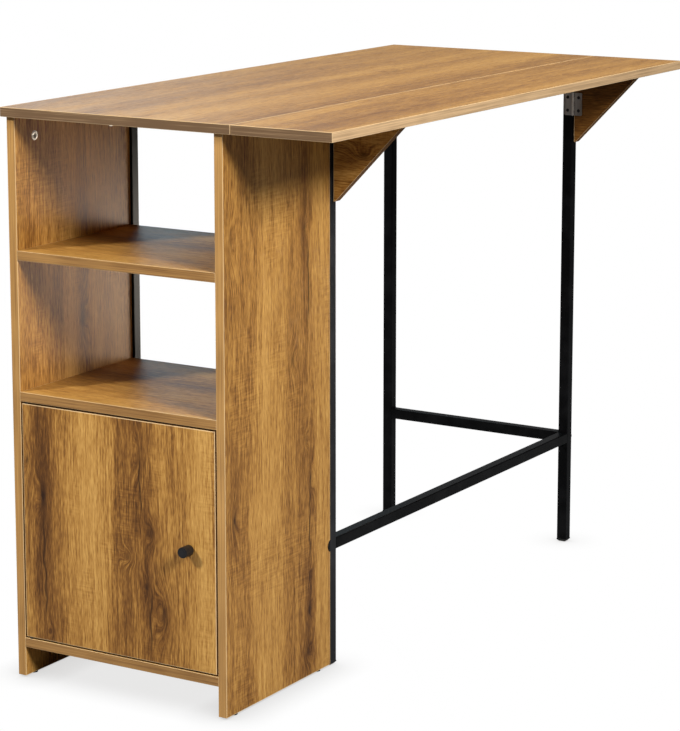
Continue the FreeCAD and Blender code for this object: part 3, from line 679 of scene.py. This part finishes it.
def choose_faces(piece, test):
    """Enters edit mode and selects the faces whose middle and normal pass a test."""
    only(piece)
    bpy.ops.object.mode_set(mode="EDIT")
    bpy.ops.mesh.select_mode(type="FACE")
    bpy.ops.mesh.select_all(action="DESELECT")
    mesh = bmesh.from_edit_mesh(piece.data)
    for face in mesh.faces:
        face.select_set(bool(test(face.calc_center_median() / MM, face.normal)))
    bmesh.update_edit_mesh(piece.data)


def choose_edges(piece, test):
    """Enters edit mode and selects the edges whose two ends pass a test."""
    only(piece)
    bpy.ops.object.mode_set(mode="EDIT")
    bpy.ops.mesh.select_mode(type="EDGE")
    bpy.ops.mesh.select_all(action="DESELECT")
    mesh = bmesh.from_edit_mesh(piece.data)
    for edge in mesh.edges:
        edge.select_set(bool(test(edge.verts[0].co / MM, edge.verts[1].co / MM)))
    bmesh.update_edit_mesh(piece.data)


print("selecting ready")


# %% Shaping
def draw_out(y=0.0, z=0.0):
    """Extrudes the chosen faces, in millimetres."""
    bpy.ops.mesh.extrude_region_move(TRANSFORM_OT_translate={"value": (0.0, y * MM, z * MM)})


def scale_ring(factor, z):
    """Scales the chosen face about the Z axis, at its height in millimetres."""
    bpy.ops.transform.resize(value=(factor, factor, 1.0), center_override=(0.0, 0.0, z * MM))


def cylinder(name, radius, low_z, high_z, corners=32):
    """A cylinder round the Z axis between two heights, in millimetres."""
    clear()
    middle = (low_z + high_z) / 2 * MM
    depth = (high_z - low_z) * MM
    bpy.ops.mesh.primitive_cylinder_add(vertices=corners, radius=radius * MM, depth=depth,
                                        location=(0.0, 0.0, middle))
    piece = bpy.context.object
    piece.name = name
    settle(piece)
    return piece


def block(name, low, high):
    """A block between two opposite corners, in millimetres."""
    clear()
    bpy.ops.mesh.primitive_cube_add(size=1.0, location=[(a + b) / 2 * MM for a, b in zip(low, high)])
    piece = bpy.context.object
    piece.name = name
    piece.scale = [(b - a) * MM for a, b in zip(low, high)]
    settle(piece)
    return piece


def carve(piece, tool, operation="DIFFERENCE"):
    """Cuts a tool's shape out of a piece, or joins it on, and deletes the tool."""
    only(piece)
    boolean = piece.modifiers.new("carve", "BOOLEAN")
    boolean.operation = operation
    boolean.solver = "EXACT"
    boolean.object = tool
    bpy.ops.object.modifier_apply(modifier=boolean.name)
    bpy.data.objects.remove(tool, do_unlink=True)


SHARP = math.radians(35)
SMOOTH = math.radians(32)


def soften(piece, width, segments=2):
    """Rounds the sharp edges a little, and smooths the shading of what is round."""
    only(piece)
    bevel = piece.modifiers.new("soften", "BEVEL")
    bevel.width = width * MM
    bevel.segments = segments
    bevel.limit_method = "ANGLE"
    bevel.angle_limit = SHARP
    bpy.ops.object.modifier_apply(modifier=bevel.name)
    bpy.ops.object.mode_set(mode="EDIT")
    bpy.ops.mesh.select_all(action="SELECT")
    bpy.ops.mesh.dissolve_degenerate(threshold=0.002 * MM)
    bpy.ops.object.mode_set(mode="OBJECT")
    bpy.ops.object.shade_smooth_by_angle(angle=SMOOTH)


print("shaping ready")


# %% Placing
def facing(place, outward, mate=None):
    """A place in millimetres, with local Z turned outward and local X turned to the mate."""
    up = Vector(outward)
    side = Vector(mate) if mate else up.orthogonal().normalized()
    turn = Matrix((side, up.cross(side), up)).transposed().to_4x4()
    return Matrix.Translation(Vector(place) * MM) @ turn


def stamp(name, pattern, places):
    """Copies a pattern to its places, each copy with its own mesh, and joins the copies."""
    copies = []
    for place in places:
        copy = pattern.copy()
        copy.data = pattern.data.copy()
        bpy.context.scene.collection.objects.link(copy)
        copy.matrix_world = place
        settle(copy)
        copies.append(copy)
    clear()
    for copy in copies:
        copy.select_set(True)
    bpy.context.view_layer.objects.active = copies[0]
    if len(copies) > 1:
        bpy.ops.object.join()
    piece = bpy.context.view_layer.objects.active
    piece.name = name
    piece.data.name = name
    return piece


def hand_over(piece, body, slot, *nodes):
    """Says what a piece moves with and which CAD nodes it stands for; the slot is not used."""
    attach(piece, body)
    if nodes:
        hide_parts(*nodes)
    print(piece.name, len(piece.data.polygons), "faces, on", body)


print("placing ready")

# %% [markdown]
# ## The door knob
#
# The knob is a short turned bar, painted matt black. Its front is dished by a hair, which shows only
# as a soft ring of light, and at the door it has a narrow neck, so that a thin shadow parts it from the
# oak. A lathe would make it from bar stock, and here a cylinder's front face is inset and pushed in.

# %% Door knob
KNOB_RADIUS = 8.5
KNOB_LENGTH = 20.0
KNOB_EDGE = 1.2
KNOB_RIM = 0.8
DISH_SLOPE = 0.5
DISH_DEPTH = 0.35
NECK_LENGTH = 0.8
NECK_STEP = 0.9
SCREW_HOLE_RADIUS = 2.1
SCREW_HOLE_DEPTH = 10.6
knob = cylinder("knob_bar", KNOB_RADIUS, 0.0, KNOB_LENGTH, corners=64)
choose_edges(knob, lambda a, b: min(a.z, b.z) > KNOB_LENGTH - 0.1)
bpy.ops.mesh.bevel(offset=KNOB_EDGE * MM, segments=5, profile=0.5, affect="EDGES")
choose_faces(knob, lambda middle, normal: normal.z > 0.99)
bpy.ops.mesh.inset(thickness=KNOB_RIM * MM)
bpy.ops.mesh.inset(thickness=DISH_SLOPE * MM, depth=-DISH_DEPTH * MM)
choose_faces(knob, lambda middle, normal: normal.z < -0.99)
bpy.ops.transform.translate(value=(0.0, 0.0, NECK_LENGTH * MM))
bpy.ops.mesh.inset(thickness=NECK_STEP * MM)
draw_out(z=-NECK_LENGTH)
carve(knob, cylinder("knob_hole", SCREW_HOLE_RADIUS, -1.0, SCREW_HOLE_DEPTH, corners=24))
soften(knob, 0.15)
knob.data.materials.append(knob_coat)
turned_knob = stamp("turned_knob", knob, [facing((-585.0, -39.0, 259.0), (-1, 0, 0))])
bpy.data.objects.remove(knob, do_unlink=True)
hand_over(turned_knob, "door_leaf", "knob_metal", "door_knob")

# %% [markdown]
# ## Screws and bolts
#
# Every screw here is the same few steps: a round shank whose lower end is drawn out ring by ring into
# the thread and the point, and whose top face is widened into a head. A flat head is drawn up as a
# cone, a round head goes straight up and has its crown bevelled. The recess is cut by tapered blades or
# by a six-sided bar. Rings stand in for the true helix, because wood or steel hides the thread.

# %% Thread, recess and head
THREAD_ROOT = 0.74
THREAD_STEPS = ((0.15, THREAD_ROOT), (0.35, 1.0), (0.30, 1 / THREAD_ROOT), (0.20, 1.0))
SHARP_TIP = 0.12
BLUNT_TIP = 0.8


def thread(piece, radius, pitch, start_z, end_z, point):
    """Draws the lowest face down into thread rings, and into a point of a given length."""
    choose_faces(piece, lambda middle, normal: normal.z < -0.99 and middle.z < start_z + 0.01)
    height = start_z
    for _ in range(int((start_z - end_z - point) / pitch)):
        for step, factor in THREAD_STEPS:
            height -= pitch * step
            draw_out(z=-pitch * step)
            if factor != 1.0:
                scale_ring(factor, height)
    draw_out(z=end_z - height)
    scale_ring(SHARP_TIP if point > 1.0 else BLUNT_TIP, end_z)


def cross_recess(piece, top_z, reach, depth):
    """Cuts a cross of two tapered blades into a head."""
    thin = reach * 0.30
    for half_x, half_y in ((reach, thin), (thin, reach)):
        blade = block("blade", (-half_x, -half_y, top_z - depth), (half_x, half_y, top_z + 1.0))
        choose_faces(blade, lambda middle, normal: normal.z < -0.99)
        scale_ring(0.45, top_z - depth)
        carve(piece, blade)


def round_head(piece, shank_radius, head_radius, head_height):
    """Widens the top face into a head that stands on z = 0, with a round crown."""
    choose_faces(piece, lambda middle, normal: normal.z > 0.99)
    draw_out()
    scale_ring(head_radius / shank_radius, 0.0)
    draw_out(z=head_height)
    choose_edges(piece, lambda a, b: min(a.z, b.z) > head_height - 0.01)
    bpy.ops.mesh.bevel(offset=head_height * 0.5 * MM, segments=4, profile=0.5, affect="EDGES")


print("screw parts ready")


# %% Two kinds of screw
def round_screw(name, head_radius, head_height, radius, length):
    """A bright wood screw with a round head, its seat at z = 0 and its point down."""
    neck_z = -length * 0.4
    piece = cylinder(name, radius, neck_z, 0.0, corners=20)
    thread(piece, radius, pitch=radius * 0.8, start_z=neck_z, end_z=-length, point=radius * 1.6)
    round_head(piece, radius, head_radius, head_height)
    cross_recess(piece, head_height, reach=head_radius * 0.55, depth=head_height * 0.65)
    soften(piece, 0.06, segments=1)
    piece.data.materials.append(bright_plate)
    return piece


def flat_screw(name, length, material):
    """A countersunk screw, the face of its head at z = 0 and its point down."""
    radius, head_radius, head_depth, rim, neck_z = 1.5, 3.0, 1.2, 0.15, -3.0
    piece = cylinder(name, radius, neck_z, -head_depth, corners=20)
    thread(piece, radius, pitch=1.1, start_z=neck_z, end_z=-length, point=2.2)
    choose_faces(piece, lambda middle, normal: normal.z > 0.99)
    draw_out(z=head_depth - rim)
    scale_ring(head_radius / radius, -rim)
    draw_out(z=rim)
    cross_recess(piece, 0.0, reach=1.75, depth=1.3)
    soften(piece, 0.05, segments=1)
    piece.data.materials.append(material)
    return piece


print("screws ready")


# %% Screws in their places
def screw_row(xs, ys, zs):
    """All places with these coordinates."""
    return [(x, y, z) for x in xs for y in ys for z in zs]


def drive(name, pattern, seats, outward, body, node):
    """Stamps one kind of screw to its seats, and deletes the pattern."""
    piece = stamp(name, pattern, [facing(seat, outward) for seat in seats])
    hand_over(piece, body, "screw_steel", node)
    bpy.data.objects.remove(pattern, do_unlink=True)


LONG_SCREW = {"head_radius": 4.0, "head_height": 2.5, "radius": 2.0}
SMALL_SCREW = {"head_radius": 2.4, "head_height": 1.6, "radius": 1.5}

post_screw = round_screw("post_screw", length=45.0, **LONG_SCREW)
post_seats = screw_row([-266.0], [-97.5, 287.5], [100.0, 409.35, 718.7])
drive("post_wood_screws", post_screw, post_seats, (1, 0, 0), "cabinet_and_frame", "post_screws")

top_screw = round_screw("top_screw", length=29.0, **LONG_SCREW)
top_seats = screw_row([-156.0, 147.0, 450.0], [-95.5, 285.5], [881.0])
drive("top_wood_screws", top_screw, top_seats, (0, 0, -1), "cabinet_and_frame", "top_screws")

knob_fixing = round_screw("knob_fixing", length=25.0, **LONG_SCREW)
knob_seats = [(-570.0, -39.0, 259.0)]
drive("knob_machine_screw", knob_fixing, knob_seats, (1, 0, 0), "door_leaf", "knob_screw")

catch_screw = round_screw("catch_screw", length=22.0, **SMALL_SCREW)
catch_seats = screw_row([-562.5], [-74.5, -41.5], [440.0])
drive("catch_wood_screws", catch_screw, catch_seats, (0, 0, -1), "cabinet_and_frame", "catch_screws")

strike_fixing = flat_screw("strike_fixing", 10.0, bright_plate)
strike_seats = [(-568.8, -58.0, 442.0)]
drive("strike_flat_screw", strike_fixing, strike_seats, (1, 0, 0), "door_leaf", "strike_screw")

# %% Rail bolts
BOLT_RADIUS = 3.0
BOLT_HEAD_RADIUS = 8.0
BOLT_HEAD_HEIGHT = 5.0
BOLT_LENGTH = 31.0
SOCKET_RADIUS = 2.9
SOCKET_DEPTH = 2.6
bolt = cylinder("bolt", BOLT_RADIUS, -BOLT_LENGTH / 2, 0.0, corners=24)
thread(bolt, BOLT_RADIUS, pitch=1.0, start_z=-BOLT_LENGTH / 2, end_z=-BOLT_LENGTH, point=0.8)
round_head(bolt, BOLT_RADIUS, BOLT_HEAD_RADIUS, BOLT_HEAD_HEIGHT)
socket_floor = BOLT_HEAD_HEIGHT - SOCKET_DEPTH
carve(bolt, cylinder("hex_bar", SOCKET_RADIUS, socket_floor, BOLT_HEAD_HEIGHT + 1.0, corners=6))
soften(bolt, 0.12, segments=1)
bolt.data.materials.append(screw_plate)
bolt_rows = [(-95.5, 890.5), (285.5, 890.5), (-95.5, 201.5)]
bolt_places = [facing((-285.0, y, z), (-1, 0, 0)) for y, z in bolt_rows]
bolt_places += [facing((579.0, y, z), (1, 0, 0)) for y, z in bolt_rows]
hand_over(stamp("domed_rail_bolts", bolt, bolt_places), "cabinet_and_frame", "screw_steel", "rail_bolts")
bpy.data.objects.remove(bolt, do_unlink=True)

# %% [markdown]
# ## Butt hinges
#
# A butt hinge is two pressed plates whose fingers are rolled round one pin. One kind serves the leaf and
# both brackets. Each plate is a thin block: bisect cuts mark where its fingers start and end, the faces
# between the cuts are drawn out towards the pin, and a knuckle is joined to each finger. Then the pin's
# bore and the countersunk holes are cut, and every edge gets the small roundness of pressed steel.

# %% The hinge plate
HINGE_LENGTH = 42.0
KNUCKLES = 5
KNUCKLE_RADIUS = 2.0
KNUCKLE_GAP = 0.1
KNUCKLE_PITCH = HINGE_LENGTH / KNUCKLES
PIN_BORE = 1.05
PLATE_BACK, PLATE_FRONT = -2.0, -0.8
PLATE_INNER, PLATE_OUTER = 2.4, 18.0
PLATE_CORNER = 2.5
FINGER_LENGTH = 2.1
SCREW_ROWS = (-12.0, 12.0)
SCREW_FROM_PIN = 11.0
SINK_NARROW, SINK_WIDE, SINK_DEPTH = 1.55, 3.15, 1.3


def countersink(place):
    """A cone that goes right through a plate, with its wide end towards +X."""
    clear()
    bpy.ops.mesh.primitive_cone_add(vertices=32, radius1=SINK_NARROW * MM,
                                    radius2=SINK_WIDE * MM, depth=SINK_DEPTH * MM,
                                    location=[part * MM for part in place],
                                    rotation=(0.0, math.radians(90), 0.0))
    cone = bpy.context.object
    settle(cone)
    return cone


def hinge_plate_piece(name, side, first_knuckle):
    """A plate on one side of the pin, with every second knuckle from the first one on."""
    low_y, high_y = sorted((side * PLATE_INNER, side * PLATE_OUTER))
    half = HINGE_LENGTH / 2
    piece = block(name, (PLATE_BACK, low_y, -half), (PLATE_FRONT, high_y, half))
    outer = PLATE_OUTER - 0.1
    choose_edges(piece, lambda a, b: min(abs(a.y), abs(b.y)) > outer and abs(a.x - b.x) > 1.0)
    bpy.ops.mesh.bevel(offset=PLATE_CORNER * MM, segments=6, profile=0.5, affect="EDGES")
    starts = [KNUCKLE_PITCH * place - half for place in range(first_knuckle, KNUCKLES, 2)]
    knuckles = [(start + KNUCKLE_GAP, start + KNUCKLE_PITCH - KNUCKLE_GAP) for start in starts]
    for cut_z in (end for ends in knuckles for end in ends):
        bpy.ops.mesh.select_all(action="SELECT")
        bpy.ops.mesh.bisect(plane_co=(0.0, 0.0, cut_z * MM), plane_no=(0.0, 0.0, 1.0))
    choose_faces(piece, lambda middle, normal: normal.y * side < -0.9
                 and any(low < middle.z < high for low, high in knuckles))
    draw_out(y=-side * FINGER_LENGTH)
    for low, high in knuckles:
        carve(piece, cylinder("knuckle", KNUCKLE_RADIUS, low, high), "UNION")
    carve(piece, cylinder("bore", PIN_BORE, -HINGE_LENGTH, HINGE_LENGTH, corners=24))
    for row in SCREW_ROWS:
        carve(piece, countersink(((PLATE_BACK + PLATE_FRONT) / 2, side * SCREW_FROM_PIN, row)))
    soften(piece, 0.1)
    piece.data.materials.append(hinge_plate)
    piece.data.materials.append(knuckle_highlight)
    # The knuckle faces get the pale coat: painted highlight.
    choose_faces(piece, lambda middle, normal: 1.5 < math.hypot(middle.x, middle.y) < 2.2)
    piece.active_material_index = 1
    bpy.ops.object.material_slot_assign()
    return piece


print("hinge plate ready")


# %% Hinges in their places
def hinge_place(x, y, z, turn):
    """Where a hinge's own frame lies: its pin's middle in millimetres and its turn about Y."""
    return Matrix.Translation(Vector((x, y, z)) * MM) @ Matrix.Rotation(math.radians(turn), 4, "Y")


near_hinge = hinge_place(-264.0, -107.0, 829.7, 0)
far_hinge = hinge_place(558.0, -107.0, 829.7, 180)
leaf_hinges = [hinge_place(x, -125.5, 898.0, 90) for x in (-435.0, -41.0, 350.0)]
fixed_plate = hinge_plate_piece("fixed_plate", 1, 0)
moving_plate = hinge_plate_piece("moving_plate", -1, 1)
plates = [
    ("leaf_hinge_top_plates", fixed_plate, leaf_hinges, "cabinet_and_frame", "leaf_hinge_fixed_flanges"),
    ("leaf_hinge_leaf_plates", moving_plate, leaf_hinges, "leaf", "leaf_hinge_moving_flanges"),
    ("near_hinge_post_plate", fixed_plate, [near_hinge], "cabinet_and_frame", "near_hinge_frame_flange"),
    ("near_hinge_swing_plate", moving_plate, [near_hinge], "near_swing_bracket",
     "near_hinge_bracket_flange"),
    ("far_hinge_leg_plate", fixed_plate, [far_hinge], "cabinet_and_frame", "far_hinge_frame_flange"),
    ("far_hinge_swing_plate", moving_plate, [far_hinge], "far_swing_bracket", "far_hinge_bracket_flange"),
]
for name, pattern, places, body, node in plates:
    hand_over(stamp(name, pattern, places), body, "hinge_steel", node)

# %% Hinge screws
wood_flat = flat_screw("wood_flat", 12.0, screw_plate)
steel_flat = flat_screw("steel_flat", 8.0, screw_plate)
bright_flat = flat_screw("bright_flat", 12.0, bright_plate)


def in_hinges(hinges, side):
    """The places of the screws of one plate of each hinge."""
    heads = [facing((PLATE_FRONT, side * SCREW_FROM_PIN, row), (1, 0, 0)) for row in SCREW_ROWS]
    return [hinge @ head for hinge in hinges for head in heads]


hinge_screws = [
    ("leaf_hinge_top_fixings", bright_flat, leaf_hinges, 1, "cabinet_and_frame", "leaf_hinge_top_screws"),
    ("leaf_hinge_leaf_fixings", bright_flat, leaf_hinges, -1, "leaf", "leaf_hinge_leaf_screws"),
    ("hinge_frame_fixings", steel_flat, [near_hinge, far_hinge], 1, "cabinet_and_frame",
     "frame_hinge_screws"),
    ("near_hinge_swing_fixings", wood_flat, [near_hinge], -1, "near_swing_bracket",
     "near_bracket_screws"),
    ("far_hinge_swing_fixings", wood_flat, [far_hinge], -1, "far_swing_bracket", "far_bracket_screws"),
]
for name, pattern, hinges, side, body, node in hinge_screws:
    hand_over(stamp(name, pattern, in_hinges(hinges, side)), body, "screw_steel", node)
for pattern in (fixed_plate, moving_plate, wood_flat, steel_flat, bright_flat):
    bpy.data.objects.remove(pattern, do_unlink=True)

# %% [markdown]
# ## Cam locks
#
# A cam lock is a small drum of die-cast zinc, turned with a screwdriver until it grips the dowel of the
# other board. From outside it is a pale ring round a darker middle with a cross slot and a pointer notch
# that shows the way to the dowel. The middle is inset and sunk, and its faces are painted dark: painted
# shade in the recess.

# %% The cam
CAM_RADIUS = 7.5
CAM_DEPTH = 12.0
CAM_RIM = 3.8
CAM_SINK = 0.7
CROSS_REACH = 3.1
CROSS_DEPTH = 3.0
CHANNEL_RADIUS = 3.1
CHANNEL_Z = -7.5
# A dark finish for the cam's sunk middle: painted shade.
cam_recess_shade = coated("cam_recess_painted_shade", (0.04, 0.036, 0.032), 0.6, grain=0.0008, peel=0.00002)
cam = cylinder("cam", CAM_RADIUS, -CAM_DEPTH, 0.0, corners=48)
choose_faces(cam, lambda middle, normal: normal.z > 0.99)
bpy.ops.mesh.inset(thickness=CAM_RIM * MM)
draw_out(z=-CAM_SINK)
cross_recess(cam, 0.0, CROSS_REACH, CROSS_DEPTH)
carve(cam, block("notch", (5.6, -0.6, -0.5), (8.5, 0.6, 1.0)))
channel = cylinder("channel", CHANNEL_RADIUS, -2.9, 12.0)
channel.matrix_world = facing((0.0, 0.0, CHANNEL_Z), (1, 0, 0), (0, 1, 0))
settle(channel)
carve(cam, channel)
soften(cam, 0.12)
cam.data.materials.append(die_cast)
cam.data.materials.append(cam_recess_shade)
# The sunk middle gets the dark finish: painted shade in the recess.
choose_faces(cam, lambda middle, normal: middle.z < -0.3 and math.hypot(middle.x, middle.y) < 4.5)
cam.active_material_index = 1
bpy.ops.object.material_slot_assign()
print("cam modelled")

# %% Cams in their places
cam_xs = (-535.0, -335.0)
top_cam_places = [facing((x, 280.0, 866.0), (0, -1, 0), (0, 0, 1)) for x in cam_xs]
top_cam_places += [facing((x, -90.0, 866.0), (0, 1, 0), (0, 0, 1)) for x in cam_xs]
shelf_cam_places = []
for underside in (676.0, 452.0, 51.0):
    for x in cam_xs:
        for y, outward_y in ((246.0, 1), (-56.0, -1)):
            shelf_cam_places.append(facing((x, y, underside), (0, 0, -1), (0, outward_y, 0)))
hand_over(stamp("top_cams", cam, top_cam_places), "cabinet_and_frame", "zinc", "top_cam_locks")
hand_over(stamp("shelf_cams", cam, shelf_cam_places), "cabinet_and_frame", "zinc", "shelf_cam_locks")
bpy.data.objects.remove(cam, do_unlink=True)

# %% [markdown]
# ## Weld beads
#
# The cross rails are welded between the uprights. A weld cools in small overlapping ripples, like a row
# of coins that has fallen over. One flattened ball stands for a ripple, an Array modifier repeats it
# along the joint, and a remesh melts the row into one skin. The beads are painted with the frame.

# %% Weld beads
RIPPLES = 13
RIPPLE_STEP = 1.15
RIPPLE_RADIUS = 1.7
RIPPLE_FLATNESS = 0.62
SKIN_GRID = 0.28
clear()
bpy.ops.mesh.primitive_uv_sphere_add(segments=20, ring_count=12, radius=RIPPLE_RADIUS * MM)
bead = bpy.context.object
bead.name = "bead"
bead.scale = (RIPPLE_FLATNESS, 1.0, 1.0)
bead.location = (-(RIPPLES - 1) / 2 * RIPPLE_STEP * MM, 0.0, 0.0)
settle(bead)
row = bead.modifiers.new("row", "ARRAY")
row.count = RIPPLES
row.use_relative_offset = False
row.use_constant_offset = True
row.constant_offset_displace = (RIPPLE_STEP * MM, 0.0, 0.0)
bpy.ops.object.modifier_apply(modifier=row.name)
melt = bead.modifiers.new("melt", "REMESH")
melt.mode = "VOXEL"
melt.voxel_size = SKIN_GRID * MM
bpy.ops.object.modifier_apply(modifier=melt.name)
bpy.ops.object.shade_smooth()
bead.data.materials.append(powder_coat)
bead_places = []
for middle_x, seam_z in ((-275.5, 881.0), (569.5, 881.0), (569.5, 192.0), (569.5, 211.0)):
    for seam_y in (-86.0, 276.0):
        bead_places.append(facing((middle_x, seam_y, seam_z), (0, 0, 1), (1, 0, 0)))
hand_over(stamp("weld_beads", bead, bead_places), "cabinet_and_frame", "black_steel")
bpy.data.objects.remove(bead, do_unlink=True)
